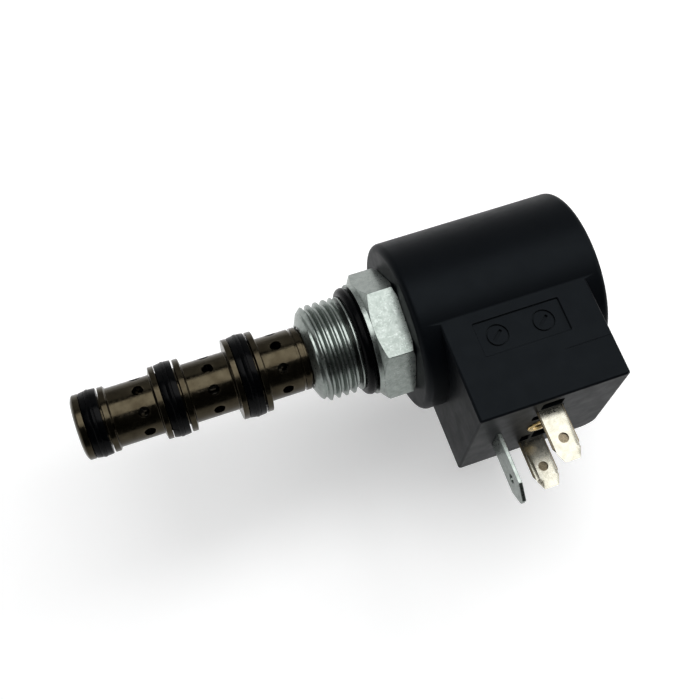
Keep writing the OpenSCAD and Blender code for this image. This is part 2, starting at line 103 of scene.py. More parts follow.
def rounded(corners, steps=4):
    """Points of a closed outline. A corner is (a, b) or (a, b, round), and a round becomes an arc."""
    points = []
    for i, corner in enumerate(corners):
        here = Vector(corner[:2])
        if len(corner) < 3:
            points.append(here)
            continue
        back = Vector(corners[i - 1][:2]) - here
        on = Vector(corners[(i + 1) % len(corners)][:2]) - here
        half = back.angle(on) / 2
        reach = min(corner[2] / math.tan(half), 0.49 * back.length, 0.49 * on.length)
        radius = reach * math.tan(half)
        centre = here + (back.normalized() + on.normalized()).normalized() * radius / math.sin(half)
        start = here + back.normalized() * reach - centre
        end = here + on.normalized() * reach - centre
        for step in range(steps + 1):
            points.append(centre + start.lerp(end, step / steps).normalized() * radius)
    return points


def turned(corners, sides=SIDES, steps=4):
    """A solid of revolution about the valve axis, from its closed outline of (x, radius) corners."""
    bm = bmesh.new()
    angles = turn_angles(sides)
    rows = [[bm.verts.new(around(x, r, a)) for a in angles] for x, r in rounded(corners, steps)]
    for low, high in zip(rows, rows[1:] + rows[:1]):
        stitch(bm, low, high)
    return tidy(bm)


def extruded(outline, place, depths):
    """A prism. outline is a closed list of (a, b); place(a, b, d) gives a point, and depths are
    the levels d, each with how far the outline is grown there: one number, or one along a and b."""
    bm = bmesh.new()
    middle = sum((Vector(p) for p in outline), Vector((0, 0))) / len(outline)
    low = Vector((min(p[0] for p in outline), min(p[1] for p in outline)))
    half = middle - low
    rows = []
    for depth, grow in depths:
        along, across = grow if isinstance(grow, tuple) else (grow, grow)
        scale = Matrix.Diagonal((1 + along / half[0], 1 + across / half[1]))
        spread = [middle + scale @ (Vector(p) - middle) for p in outline]
        rows.append([bm.verts.new(Vector(place(a, b, depth)) * MM) for a, b in spread])
    for lower, upper in zip(rows, rows[1:]):
        stitch(bm, lower, upper)
    bm.faces.new(rows[0])
    bm.faces.new(rows[-1])
    return tidy(bm)


def plate_outline(low, high, rounds, steps=6):
    """A rectangle's outline with a round on each corner, anticlockwise from the lower left."""
    corners = [(low[0], low[1]), (high[0], low[1]), (high[0], high[1]), (low[0], high[1])]
    return rounded([(*c, r) if r else c for c, r in zip(corners, rounds)], steps)


def disc_outline(centre, radius, sides=48):
    """A circle's outline."""
    return [Vector(centre) + radius * Vector((math.cos(a), math.sin(a))) for a in turn_angles(sides)]


def loose_object(bm, name="tool"):
    """A plain object from a bmesh, linked to the scene, for booleans."""
    mesh = bpy.data.meshes.new(name)
    bm.to_mesh(mesh)
    bm.free()
    obj = bpy.data.objects.new(name, mesh)
    bpy.context.scene.collection.objects.link(obj)
    return obj


def baked(obj):
    """Applies an object's modifiers to its mesh."""
    graph = bpy.context.evaluated_depsgraph_get()
    mesh = bpy.data.meshes.new_from_object(obj.evaluated_get(graph))
    obj.modifiers.clear()
    old, obj.data = obj.data, mesh
    bpy.data.meshes.remove(old)
    return obj


def combine(obj, tool, operation):
    """obj with another solid cut out of it, joined to it or kept as their common part."""
    change = obj.modifiers.new("change", "BOOLEAN")
    change.solver = "EXACT"
    change.operation = operation
    change.object = tool
    baked(obj)
    mesh = tool.data
    bpy.data.objects.remove(tool)
    bpy.data.meshes.remove(mesh)
    return obj


def joined(parts):
    """One bmesh from several."""
    whole = bmesh.new()
    for part in parts:
        mesh = bpy.data.meshes.new("part")
        part.to_mesh(mesh)
        part.free()
        whole.from_mesh(mesh)
        bpy.data.meshes.remove(mesh)
    return whole


def piece(source, name, body, material, replaces=(), angle=28):
    """Finishes a piece: its name, shading, material, body and the CAD nodes it stands for."""
    obj = source if isinstance(source, bpy.types.Object) else loose_object(source)
    obj.name = name
    obj.data.name = name
    obj.data.shade_smooth()
    obj.data.set_sharp_from_angle(angle=math.radians(angle))
    even = obj.modifiers.new("even shading", "WEIGHTED_NORMAL")
    even.keep_sharp = True
    obj.data.materials.clear()
    obj.data.materials.append(material)
    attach(obj, body)
    if replaces:
        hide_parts(*replaces)
    return obj


# ---- threads ----

# Where a 60 degree thread's flat crest ends and its flat root begins, in turns from the crest
CREST, ROOT = 1 / 16, 3 / 8


def thread_depth(pitch):
    """Height of a 60 degree thread from root to crest."""
    return 0.5413 * pitch


def thread_radius(turns, pitch, major):
    """Radius of a 60 degree thread, some turns past a crest: flat crest, flank, flat root, flank."""
    off = abs((turns + 0.5) % 1 - 0.5)
    share = min(max((off - CREST) / (ROOT - CREST), 0), 1)
    return major - thread_depth(pitch) * share


def thread_rows(bm, x0, x1, pitch, phase, major, limit, sides=SIDES):
    """A right-hand thread between two planes, as rows of points that run along the helix.
    limit(x) is the largest radius allowed at x; it must be below the root at both planes.
    Returns the first and last rows, which are plain circles."""
    near = 0.03
    stations = [0, CREST, CREST + near, (CREST + ROOT) / 2, ROOT - near, ROOT, 1 / 2]
    stations += [1 - s for s in reversed(stations[1:-1])]
    per_turn = len(stations)
    first = math.floor((x0 - phase) / pitch) - 1
    last = math.ceil((x1 - phase) / pitch)
    starts = [phase + pitch * (t + s) for t in range(first, last + 1) for s in stations]
    rows = []
    for start in starts:
        row = []
        for angle in turn_angles(sides):
            x = min(max(start + pitch * angle / (2 * math.pi), x0), x1)
            turns = (x - phase) / pitch - angle / (2 * math.pi)
            radius = min(limit(x), thread_radius(turns, pitch, major))
            row.append(bm.verts.new(around(x, radius, angle)))
        rows.append(row)
    for i in range(len(rows) - 1):
        low_next = rows[min(i + per_turn, len(rows) - 1)][0]
        high_next = rows[min(i + 1 + per_turn, len(rows) - 1)][0]
        stitch(bm, rows[i], rows[i + 1], low_next, high_next)
    return rows[0], rows[-1]


def turned_with_thread(corners, x0, x1, pitch, phase, major, limit, sides=SIDES):
    """A solid of revolution whose outline runs from the thread's far plane round to its near one."""
    bm = bmesh.new()
    first, last = thread_rows(bm, x0, x1, pitch, phase, major, limit, sides)
    rows = [last]
    rows += [[bm.verts.new(around(x, r, a)) for a in turn_angles(sides)] for x, r in corners]
    rows.append(first)
    for low, high in zip(rows, rows[1:]):
        stitch(bm, low, high)
    return tidy(bm)


# ---- surfaces ----

class Surface:
    """A procedural material on one Principled shader, with its textures in the row frame."""

    def __init__(self, name, colour, roughness, metallic=0.0, **sockets):
        self.material = bpy.data.materials.new(name)
        self.material.use_nodes = True
        self.nodes = self.material.node_tree.nodes
        self.links = self.material.node_tree.links
        self.shader = self.nodes["Principled BSDF"]
        self.place = self.nodes.new("ShaderNodeTexCoord").outputs["Object"]
        self.shader.inputs["Base Color"].default_value = (*colour, 1)
        self.shader.inputs["Roughness"].default_value = roughness
        self.shader.inputs["Metallic"].default_value = metallic
        for socket, value in sockets.items():
            self.shader.inputs[socket.replace("_", " ")].default_value = value
        self.material.diffuse_color = (*colour, 1)
        self.height = None

    def noise(self, size, detail=3.0, stretch=(1, 1, 1), rough=0.5):
        """Noise whose features are about size millimetres across, times stretch along each axis."""
        mapping = self.nodes.new("ShaderNodeMapping")
        mapping.inputs["Scale"].default_value = [1 / s for s in stretch]
        self.links.new(self.place, mapping.inputs["Vector"])
        texture = self.nodes.new("ShaderNodeTexNoise")
        texture.inputs["Scale"].default_value = 1 / (size * MM)
        texture.inputs["Detail"].default_value = detail
        texture.inputs["Roughness"].default_value = rough
        self.links.new(mapping.outputs["Vector"], texture.inputs["Vector"])
        return texture.outputs["Fac"]

    def turning(self, size, detail=2.0):
        """Noise that changes only along the valve axis, like the marks of a lathe tool."""
        return self.noise(size, detail, stretch=(1, 300, 300))

    def between(self, value, low, high, start=0.35, end=0.65):
        """A number from low to high as a texture value goes from start to end."""
        node = self.nodes.new("ShaderNodeMapRange")
        for socket, number in zip(("From Min", "From Max", "To Min", "To Max"), (start, end, low, high)):
            node.inputs[socket].default_value = number
        self.links.new(value, node.inputs["Value"])
        return node.outputs["Result"]

    def colours(self, value, *stops):
        """Colour from stops of (texture value, colour)."""
        node = self.nodes.new("ShaderNodeValToRGB")
        ramp = node.color_ramp
        while len(ramp.elements) < len(stops):
            ramp.elements.new(0.5)
        for element, (at, colour) in zip(ramp.elements, stops):
            element.position = at
            element.color = (*colour, 1)
        self.links.new(value, node.inputs["Fac"])
        return node.outputs["Color"]

    def blend(self, share, first, second):
        """Mixes two colours; a share of one gives the second."""
        node = self.nodes.new("ShaderNodeMix")
        node.data_type = "RGBA"
        self.links.new(share, node.inputs["Factor"])
        for socket, colour in (("A", first), ("B", second)):
            slot = [s for s in node.inputs if s.name == socket and s.type == "RGBA"][0]
            if isinstance(colour, tuple):
                slot.default_value = (*colour, 1)
            else:
                self.links.new(colour, slot)
        return [s for s in node.outputs if s.type == "RGBA"][0]

    def set(self, socket, value):
        """Drives one of the shader's inputs by a texture."""
        self.links.new(value, self.shader.inputs[socket])
        return self

    def bump(self, value, depth, strength=1.0):
        """Adds relief of about depth millimetres."""
        node = self.nodes.new("ShaderNodeBump")
        node.inputs["Distance"].default_value = depth * MM
        node.inputs["Strength"].default_value = strength
        self.links.new(value, node.inputs["Height"])
        if self.height is not None:
            self.links.new(self.height, node.inputs["Normal"])
        self.height = node.outputs["Normal"]
        self.links.new(self.height, self.shader.inputs["Normal"])
        return self

    def along(self, low, high):
        """One between two places on the valve axis, in millimetres, and zero outside them."""
        split = self.nodes.new("ShaderNodeSeparateXYZ")
        self.links.new(self.place, split.inputs["Vector"])
        compare = self.nodes.new("ShaderNodeMath")
        compare.operation = "COMPARE"
        compare.inputs[1].default_value = (low + high) / 2 * MM
        compare.inputs[2].default_value = (high - low) / 2 * MM
        self.links.new(split.outputs["X"], compare.inputs[0])
        return compare.outputs["Value"]

    def edges(self):
        """How sharply the mesh turns at each point, for wear that follows its edges."""
        return self.nodes.new("ShaderNodeNewGeometry").outputs["Pointiness"]


def oxide_steel():
    """Bronze-brown oxide on turned steel, paler along the edges."""
    s = Surface("oxide_steel", (0.056, 0.048, 0.033), 0.3, 1.0)
    patches = s.noise(2.2, 4)
    colour = s.colours(patches, (0.3, (0.041, 0.034, 0.022)), (0.7, (0.065, 0.056, 0.038)))
    # The colour is paler where the mesh turns sharply, along the edges.
    pale_edges = s.between(s.edges(), 0, 0.5, 0.52, 0.6)
    s.set("Base Color", s.blend(pale_edges, colour, (0.22, 0.19, 0.14)))
    s.set("Roughness", s.between(s.noise(0.8, 5), 0.15, 0.27))
    s.bump(s.turning(0.12, 3), 0.003, 0.4)
    s.bump(s.noise(0.25, 4), 0.0015, 0.35)
    return s.material


def zinc_plate():
    """Pale grey plating with faint specks. The groove behind the cavity thread is painted near black, as
    painted shade.
    """
    # Painted shade: the plating is painted near black between these two places on the axis, where the
    # groove lies in shadow.
    painted_shade_start, painted_shade_end = -3.2, -2.66
    s = Surface("zinc_plate", (0.28, 0.31, 0.29), 0.33, 1.0)
    plating = s.colours(s.noise(1.1, 6), (0.3, (0.238, 0.266, 0.248)), (0.7, (0.32, 0.348, 0.331)))
    specks = s.between(s.noise(0.2, 2), 0, 0.3, 0.64, 0.74)
    plating = s.blend(specks, plating, (0.17, 0.18, 0.17))
    painted_shade_mask = s.along(painted_shade_start, painted_shade_end)
    s.set("Base Color", s.blend(painted_shade_mask, plating, (0.04, 0.045, 0.04)))
    s.set("Roughness", s.between(s.noise(0.35, 4), 0.26, 0.38))
    s.bump(s.noise(0.16, 3), 0.004, 0.35)
    s.bump(s.turning(0.2, 3), 0.004, 0.3)
    return s.material


def bright_steel(name, colour, roughness, marks=0.15):
    """Bare machined steel; marks is the spacing of the tool marks."""
    s = Surface(name, colour, roughness, 1.0)
    s.set("Base Color", s.colours(s.noise(3, 3), (0.3, tuple(0.88 * c for c in colour)), (0.7, colour)))
    s.set("Roughness", s.between(s.noise(0.6, 4), 0.8 * roughness, 1.25 * roughness))
    s.bump(s.turning(marks, 3), 0.004, 0.5)
    return s.material


def rolled_steel():
    """Unplated sheet, with streaks along the axis."""
    s = Surface("flux_steel", (0.40, 0.40, 0.41), 0.45, 1.0)
    s.set("Base Color", s.colours(s.noise(1.5, 6), (0.3, (0.30, 0.30, 0.31)), (0.7, (0.46, 0.46, 0.47))))
    s.set("Roughness", s.between(s.noise(0.5, 4), 0.38, 0.58))
    s.bump(s.noise(0.3, 5, stretch=(4, 1, 1)), 0.008, 0.5)
    return s.material


def machined_brass():
    """Brass with tool marks and a slight tarnish."""
    s = Surface("brass", (0.78, 0.58, 0.26), 0.28, 1.0)
    s.set("Base Color", s.colours(s.noise(1.2, 4), (0.3, (0.66, 0.47, 0.19)), (0.7, (0.86, 0.68, 0.36))))
    s.set("Roughness", s.between(s.noise(0.4, 4), 0.2, 0.38))
    s.bump(s.noise(0.12, 3, stretch=(1, 8, 1)), 0.004, 0.4)
    return s.material


def nickel_plate():
    """The bright, slightly yellow plating of the contacts' upper leaves."""
    s = Surface("contact_plate", (0.36, 0.35, 0.30), 0.22, 1.0)
    stains = s.noise(1.3, 5)
    s.set("Base Color", s.colours(stains, (0.3, (0.32, 0.31, 0.26)), (0.62, (0.38, 0.37, 0.325))))
    s.set("Roughness", s.between(s.noise(0.3, 4), 0.17, 0.26))
    s.bump(s.noise(0.1, 3, stretch=(1, 12, 1)), 0.002, 0.35)
    s.bump(s.noise(0.7, 3), 0.003, 0.2)
    return s.material


def dull_contact_metal():
    """The brownish, duller metal of the contacts' lower leaves."""
    s = Surface("contact_core", (0.20, 0.17, 0.12), 0.42, 1.0)
    dark, pale = (0.3, (0.14, 0.12, 0.09)), (0.7, (0.25, 0.215, 0.15))
    s.set("Base Color", s.colours(s.noise(0.3, 5), dark, pale))
    s.set("Roughness", s.between(s.noise(0.2, 4), 0.34, 0.5))
    s.bump(s.noise(0.15, 4), 0.005, 0.4)
    return s.material


def enamelled_copper():
    """Winding wire under its clear enamel."""
    s = Surface("copper_wire", (0.55, 0.22, 0.08), 0.25, 1.0, Coat_Weight=0.6, Coat_Roughness=0.1)
    s.set("Base Color", s.colours(s.noise(0.9, 3), (0.3, (0.42, 0.15, 0.05)), (0.7, (0.62, 0.28, 0.12))))
    s.set("Roughness", s.between(s.noise(0.4, 3), 0.2, 0.34))
    s.bump(s.noise(0.5, 2), 0.01, 0.2)
    return s.material


def seal_rubber():
    """Smooth black rubber. The low IOR keeps its grazing reflections dark."""
    s = Surface("seal_rubber", (0.0009, 0.0011, 0.0016), 0.27, 0.0, IOR=1.17)
    dark, pale = (0.3, (0.0006, 0.0008, 0.0011)), (0.7, (0.0012, 0.0015, 0.0021))
    s.set("Base Color", s.colours(s.noise(0.8, 4), dark, pale))
    s.set("Roughness", s.between(s.noise(0.5, 4), 0.2, 0.32))
    s.bump(s.noise(0.18, 4), 0.006, 0.5)
    s.bump(s.noise(1.6, 2), 0.03, 0.25)
    return s.material


def backup_plastic():
    """The black plastic of the backup rings, with fine turning marks."""
    s = Surface("backup_plastic", (0.0009, 0.0011, 0.0016), 0.24, 0.0, IOR=1.18)
    dark, pale = (0.3, (0.0006, 0.0008, 0.0011)), (0.7, (0.0012, 0.0015, 0.0021))
    s.set("Base Color", s.colours(s.noise(1.0, 4), dark, pale))
    s.set("Roughness", s.between(s.noise(0.5, 4), 0.18, 0.28))
    s.bump(s.turning(0.1, 2), 0.004, 0.4)
    return s.material


def coil_plastic():
    """Black moulding compound with a fine grain and faint smears."""
    s = Surface("coil_plastic", (0.0033, 0.0041, 0.0056), 0.4, 0.0, IOR=1.2)
    s.shader.inputs["Specular Tint"].default_value = (0.8, 0.92, 1.0, 1)
    flow = s.noise(9, 4, rough=0.6)
    dark, pale = (0.3, (0.0029, 0.0037, 0.0051)), (0.7, (0.0037, 0.0046, 0.0062))
    s.set("Base Color", s.colours(flow, dark, pale))
    smear = s.noise(3.5, 5, rough=0.6)
    s.set("Roughness", s.between(smear, 0.38, 0.45))
    s.bump(s.noise(0.11, 3), 0.006, 0.5)
    s.bump(s.noise(2.5, 2), 0.01, 0.2)
    return s.material


def moulded_nylon():
    """The bobbin's natural nylon."""
    depth = {"Subsurface_Weight": 0.1, "Subsurface_Scale": 0.001}
    s = Surface("bobbin_nylon", (0.72, 0.69, 0.58), 0.42, 0.0, **depth)
    s.set("Base Color", s.colours(s.noise(4, 3), (0.3, (0.66, 0.62, 0.50)), (0.7, (0.76, 0.73, 0.63))))
    s.set("Roughness", s.between(s.noise(0.8, 3), 0.36, 0.5))
    s.bump(s.noise(0.2, 3), 0.006, 0.4)
    return s.material


OXIDE = oxide_steel()
ZINC = zinc_plate()
TUBE = bright_steel("tube_steel", (0.62, 0.63, 0.64), 0.22, 0.25)
IRON = bright_steel("soft_iron", (0.50, 0.50, 0.51), 0.3, 0.12)
# Painted shade: the spool's steel is painted nearly black so that the ports read dark, as if shaded
# inside.
SPOOL_PAINTED_DARK = bright_steel("ground_steel", (0.075, 0.07, 0.06), 0.14, 0.3)
WIRE = bright_steel("spring_wire", (0.46, 0.46, 0.48), 0.26, 0.3)
FLUX = rolled_steel()
BRASS = machined_brass()
NICKEL = nickel_plate()
CORE = dull_contact_metal()
COPPER = enamelled_copper()
RUBBER = seal_rubber()
BACKUP = backup_plastic()
PLASTIC = coil_plastic()
NYLON = moulded_nylon()

CARRIED = {
    "guide_tube": TUBE, "gap_shim": BRASS, "spool": SPOOL_PAINTED_DARK, "armature": IRON, "bobbin": NYLON,
    "flux_frame": FLUX, "front_flux_washer": FLUX, "rear_flux_washer": FLUX,
    "lead_1": COPPER, "lead_2": COPPER, "front_coil_seal": RUBBER,
}


def dress_carried_nodes():
    """Puts a detailed material on every CAD node that no piece replaces."""
    for node, material in CARRIED.items():
        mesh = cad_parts[node].data
        mesh.materials.clear()
        mesh.materials.append(material)


# ---- hydraulic cartridge ----

def sleeve():
    """The drilled sleeve: three sealing lands with grooves, and three rows of ports between them."""
    low, high = span("sleeve")
    nose, top = low[0], high[0]
    bore, body, shank = 3.6, 5.75, 6.2
    groove_length, groove_depth, play = 3.7, 1.5, 0.12
    lip, slope = 1.05, 0.3
    edge, root = 0.1, 0.15
    outline = [
        (nose, bore, 0.2), (nose, 5.2, 0.3), (nose + 0.3, 5.95, 0.2), (nose + 0.6, LANDS["nose"], 0.2)
    ]
    for ring, land in LANDS.items():
        front = span(ring + "_backup_rings")[0][0] - play
        back = front + groove_length
        floor = land - groove_depth
        neck = shank if ring == "upper" else body
        if ring != "nose":
            outline += [(front - lip - slope, body, root), (front - lip, land, edge)]
        outline += [
            (front, land, edge), (front, floor, root), (back, floor, root), (back, land, edge),
            (back + lip, land, edge), (back + lip + slope, neck, root)
        ]
    for start, end, waist in ((-13.45, -12.95, 5.7), (-12, -11.3, 5.6)):
        outline += [(start, shank, 0.06), (start, waist, 0.05), (end, waist, 0.05), (end, shank, 0.06)]
    outline += [(top, shank, edge), (top, bore, edge)]
    obj = loose_object(turned(outline))
    first_row, row_pitch = nose + 12.5, 13.4
    return combine(obj, loose_object(port_drills(first_row, row_pitch, body)), "DIFFERENCE")


def port_drills(first, pitch, body):
    """Drills for three rows of ports, each flared where it leaves the sleeve so the port's edge is
    broken. The last row is in the shank, which is thicker than the body."""
    hole, flare, inner, outer = 1.05, 0.3, 3.2, 9.0
    profile = [(inner, hole), (body - 0.1, hole), (body + 0.2, hole + flare), (outer, hole + flare)]
    ports_in_row, first_angle, thicker = 8, 28.3, 0.45
    drills = []
    for row in range(3):
        lifts = (0, thicker, thicker, 0) if row == 2 else (0, 0, 0, 0)
        for k in range(ports_in_row):
            bm = bmesh.new()
            rings = []
            for (out, radius), lift in zip(profile, lifts):
                rings.append([
                    bm.verts.new(Vector((radius * math.cos(a), out + lift, radius * math.sin(a))) * MM)
                    for a in turn_angles(32)
                ])
            for low, high in zip(rings, rings[1:]):
                stitch(bm, low, high)
            bm.faces.new(rings[0])
            bm.faces.new(rings[-1])
            turn = Matrix.Rotation(math.radians(first_angle + 360 / ports_in_row * k), 4, "X")
            bm.transform(Matrix.Translation(Vector((first + row * pitch, 0, 0)) * MM) @ turn)
            drills.append(tidy(bm))
    return joined(drills)


def oring(node, flash=0.035):
    """An O-ring with the thin line that its mould leaves, round the middle of its outer side."""
    low, high = span(node)
    section = (high[0] - low[0]) / 2
    middle = (high[0] + low[0]) / 2
    centre = high[1] - section
    flash_reach = 0.12
    points = []
    for a in turn_angles(40):
        proud = flash * max(0, 1 - abs(math.remainder(a, math.pi)) / flash_reach)
        radius = section - flash + proud
        points.append((middle + radius * math.sin(a), centre + radius * math.cos(a)))
    return turned(points, FINE_SIDES if high[1] < 9 else SIDES)


def backup_ring(corners, cut_angle):
    """A split ring of the given outline: its two ends meet in a slanted cut."""
    gap, slant = 0.012, 0.085
    bm = bmesh.new()
    rows = []
    for i in range(FINE_SIDES + 1):
        start = cut_angle + gap + i / FINE_SIDES * (2 * math.pi - 2 * gap)
        row = [bm.verts.new(around(x, r, start + slant * (x - corners[0][0]))) for x, r in corners]
        rows.append(row)
    for low, high in zip(rows, rows[1:]):
        stitch(bm, low, high)
    bm.faces.new(rows[0])
    bm.faces.new(rows[-1])
    return tidy(bm)


def backup_pair(name, land, cut_angle):
    """The rings on both sides of an O-ring, each with a face hollowed to fit round it."""
    low, high = span(name + "_backup_rings")
    first, last = span(name + "_oring")
    section = (last[0] - first[0]) / 2
    middle, centre, reach = (first[0] + last[0]) / 2, last[1] - section, section + SLIP
    inner = land - 1.48
    lip_width, arc_steps = 0.06, 8
    rings = []
    profiles = ((-1, low[0], land - 0.02, land + 0.14), (1, high[0], land + 0.1, high[1]))
    for side, far_x, far, tip in profiles:
        lap = math.acos((tip - centre) / reach) + 0.05
        hollow = []
        for i in range(arc_steps + 1):
            angle = lap + (math.pi / 2 - lap) * i / arc_steps
            hollow.append((middle + side * reach * math.sin(angle), centre + reach * math.cos(angle)))
        lip = (hollow[0][0] + side * lip_width, tip)
        outline = [(far_x, inner), (far_x, far, 0.12), lip, *hollow, (middle + side * reach, inner)]
        rings.append(backup_ring(rounded(outline, 3), cut_angle + 1.2 * side))
    return joined(rings)


HEX_AF = 22.225
HEX_FLAT = math.radians(103.7)      # direction of the flat on the panel's side


def hex_prism(x0, x1, across, flat):
    """A hexagonal bar along the axis, from its size across flats and the direction of one flat."""
    bm = bmesh.new()
    corners = [flat + math.radians(30 + 60 * k) for k in range(6)]
    rows = [[bm.verts.new(around(x, across / math.sqrt(3), a)) for a in corners] for x in (x0, x1)]
    stitch(bm, *rows)
    bm.faces.new(rows[0])
    bm.faces.new(rows[1])
    return tidy(bm)


def hex_adapter():
    """The plated adapter: cavity thread, relief and seal lip, and a hexagon with a washer face."""
    low, high = span("hex_adapter")
    tip, top = low[0], high[0]
    pitch, major, relief = 1.5875, 9.525, 8.0
    a_crest, thread_end, runout_length = -9.83, -3.15, 0.3
    lip, lip_end, lip_r, seat_groove = -2.65, -2.3, 9.35, 8.57
    tube_seat, passage, sleeve_seat, socket = -1.02, 5.6, -4.98, 6.22
    lap = 0.6           # how far this part goes into the head that it is joined to
    tube = span("guide_tube")[1][1] + SLIP
    cone_r, cone_slope = 6.5, 2.2
    shoulder_r, shoulder_slope = 8.65, 0.85

    def limit(x):
        cone = cone_r + (x - tip) * cone_slope
        shoulder = shoulder_r + (x - tip - 1) * shoulder_slope
        runout = relief + (thread_end - x) * (major - relief) / runout_length
        return min(major, cone, shoulder, runout)

    rest = [
        (lip, relief), (lip, lip_r - 0.05), (lip + 0.06, lip_r), (lip_end - 0.06, lip_r),
        (lip_end, lip_r - 0.05), (lip_end, seat_groove), (lap, seat_groove), (lap, tube),
        (tube_seat, tube), (tube_seat, passage), (sleeve_seat, passage), (sleeve_seat, socket),
        (tip, socket), (tip, cone_r - 0.05)
    ]
    obj = loose_object(turned_with_thread(rest, tip, thread_end, pitch, a_crest, major, limit))
    corner, collar, crown = 12.8, 11.05, 11.9
    hollow_r, hollow_depth, collar_end = 10.85, 0.1, 0.9
    slope = math.tan(math.radians(30))
    blank = [
        (hollow_depth, tube), (hollow_depth, hollow_r), (0, hollow_r), (0, collar, 0.06),
        (collar_end, collar), (collar_end + (corner - collar) * slope, corner, 0.1),
        (top - (corner - crown) * slope, corner, 0.1), (top, crown, 0.1), (top, tube, 0.2)
    ]
    head = loose_object(turned(blank))
    combine(head, loose_object(hex_prism(-1, top + 1, HEX_AF, HEX_FLAT)), "INTERSECT")
    return combine(obj, head, "UNION")


# ---- solenoid core ----

def pole_piece():
    """The fixed pole with its threaded stud, which the coil nut screws onto."""
    low, high = span("pole_piece")
    start, end = low[0], high[0]
    body, flange_r, bevel = 5.48, 6.35, 0.1
    pocket_r, pocket_end = 2.6, 32.6
    tube_end = span("guide_tube")[1][0] + SLIP
    flange = tube_end + 0.8
    stud, neck, crest = flange + 0.6, 4.2, 5.0
    pitch, a_crest = 1.0, 43.0

    def limit(x):
        return min(crest, neck + (x - stud), neck + (end - x) * 1.2)

    rest = [
        (end, 3.6), (end, 0), (pocket_end, 0), (pocket_end, pocket_r), (start, pocket_r),
        (start, body - 0.4), (start + 0.4, body), (tube_end, body),
        (tube_end, flange_r - bevel), (tube_end + bevel, flange_r),
        (flange - bevel, flange_r), (flange, flange_r - bevel), (flange, neck)
    ]
    return turned_with_thread(rest, stud, end, pitch, a_crest, crest, limit, FINE_SIDES)


def coil_nut():
    """The nut that holds the coil: a round skirt with the seal's groove, and a low hexagon."""
    low, high = span("coil_nut")
    start, end = low[0], high[0]
    skirt_end, skirt_r = start + 3.4, 8.1
    bore, across_flats = 5.02, 14
    head_start, head_r = skirt_end - 0.5, 7.78
    seal_low, seal_high = span("nut_seal")
    groove_r = seal_high[1] - (seal_high[0] - seal_low[0]) - SLIP
    groove, groove_end = seal_low[0] - 0.15, seal_high[0] + 0.15
    skirt = [
        (start, bore, 0.2), (start, skirt_r, 0.2), (groove, skirt_r, 0.1), (groove, groove_r),
        (groove_end, groove_r), (groove_end, skirt_r, 0.1), (skirt_end, skirt_r, 0.25), (skirt_end, bore)
    ]
    top = [
        (head_start, bore), (head_start, head_r), (end - 0.45, head_r, 0.1), (end, 7.0, 0.1),
        (end, bore, 0.3)
    ]
    head = loose_object(turned(top, FINE_SIDES))
    combine(head, loose_object(hex_prism(start, end + 1, across_flats, math.pi / 2)), "INTERSECT")
    return combine(loose_object(turned(skirt, FINE_SIDES)), head, "UNION")


def return_spring():
    """Closed and ground compression spring, as one round wire."""
    low, high = span("return_spring")
    wire, radius, turns, sides = 0.35, 2.1, 9, 12
    closed = 2 * wire * 1.02
    length = high[0] - low[0] - 2 * wire
    free = length - 2 * closed
    steps_per_turn = 28
    steps = steps_per_turn * (turns + 2)
    bm = bmesh.new()
    rows = []
    for i in range(steps + 1):
        now = (turns + 2) * i / steps
        if now < 1:
            rise = now * closed
        elif now > turns + 1:
            rise = closed + free + (now - turns - 1) * closed
        else:
            rise = closed + free * (now - 1) / turns
        row = []
        for b in turn_angles(sides):
            at = low[0] + wire + rise + wire * math.sin(b)
            row.append(bm.verts.new(around(at, radius + wire * math.cos(b), 2 * math.pi * now)))
        rows.append(row)
    for near, far in zip(rows, rows[1:]):
        stitch(bm, near, far)
    bm.faces.new(rows[0])
    bm.faces.new(rows[-1])
    return tidy(bm)


# ---- coil ----

PANEL_Z = 15.0       # the block's panel
PIN_Y = -27.5        # the block's face that the contacts come out of
CONTACT_X = 26.4     # the middle of the two flat contacts and of the screw insert
CONTACT_Z = 9.0      # the two contacts' distance from the middle
GROUND_X = 17.4      # the middle of the ground contact
SHARP = (0,) * 4     # no round on any corner of a plate's outline


def block_solid(x0, x1):
    """The terminal block: edges rounded, with a larger round at its far lower corner."""
    inside, underside = -2.0, -13.5
    outline = plate_outline((x0, underside), (x1, PANEL_Z), (0.5, 3.0, 0.5, 0.5))
    edge, steps = 0.45, 4
    levels = [(inside, 0)] + [
        (PIN_Y + edge * (1 - math.sin(a)), -edge * (1 - math.cos(a)))
        for a in (math.pi / 2 * i / steps for i in range(steps + 1))
    ]
    return extruded(outline, lambda a, b, d: (a, d, b), levels)


def pocket(outline, place, depth, flare=0.08, above=1.0):
    """A cutter for a recess: straight walls, with a broken edge where it meets the surface at 0."""
    return extruded(outline, place, [(-depth, 0), (-flare, 0), (0.02, flare), (above, flare)])


def on_panel(a, b, d):
    """Places an outline on the panel; d is the height above it."""
    return (a, b, PANEL_Z + d)


def on_pin_face(a, b, d):
    """Places an outline on the face that the contacts come out of; d is the height above it."""
    return (a, PIN_Y - d, b)


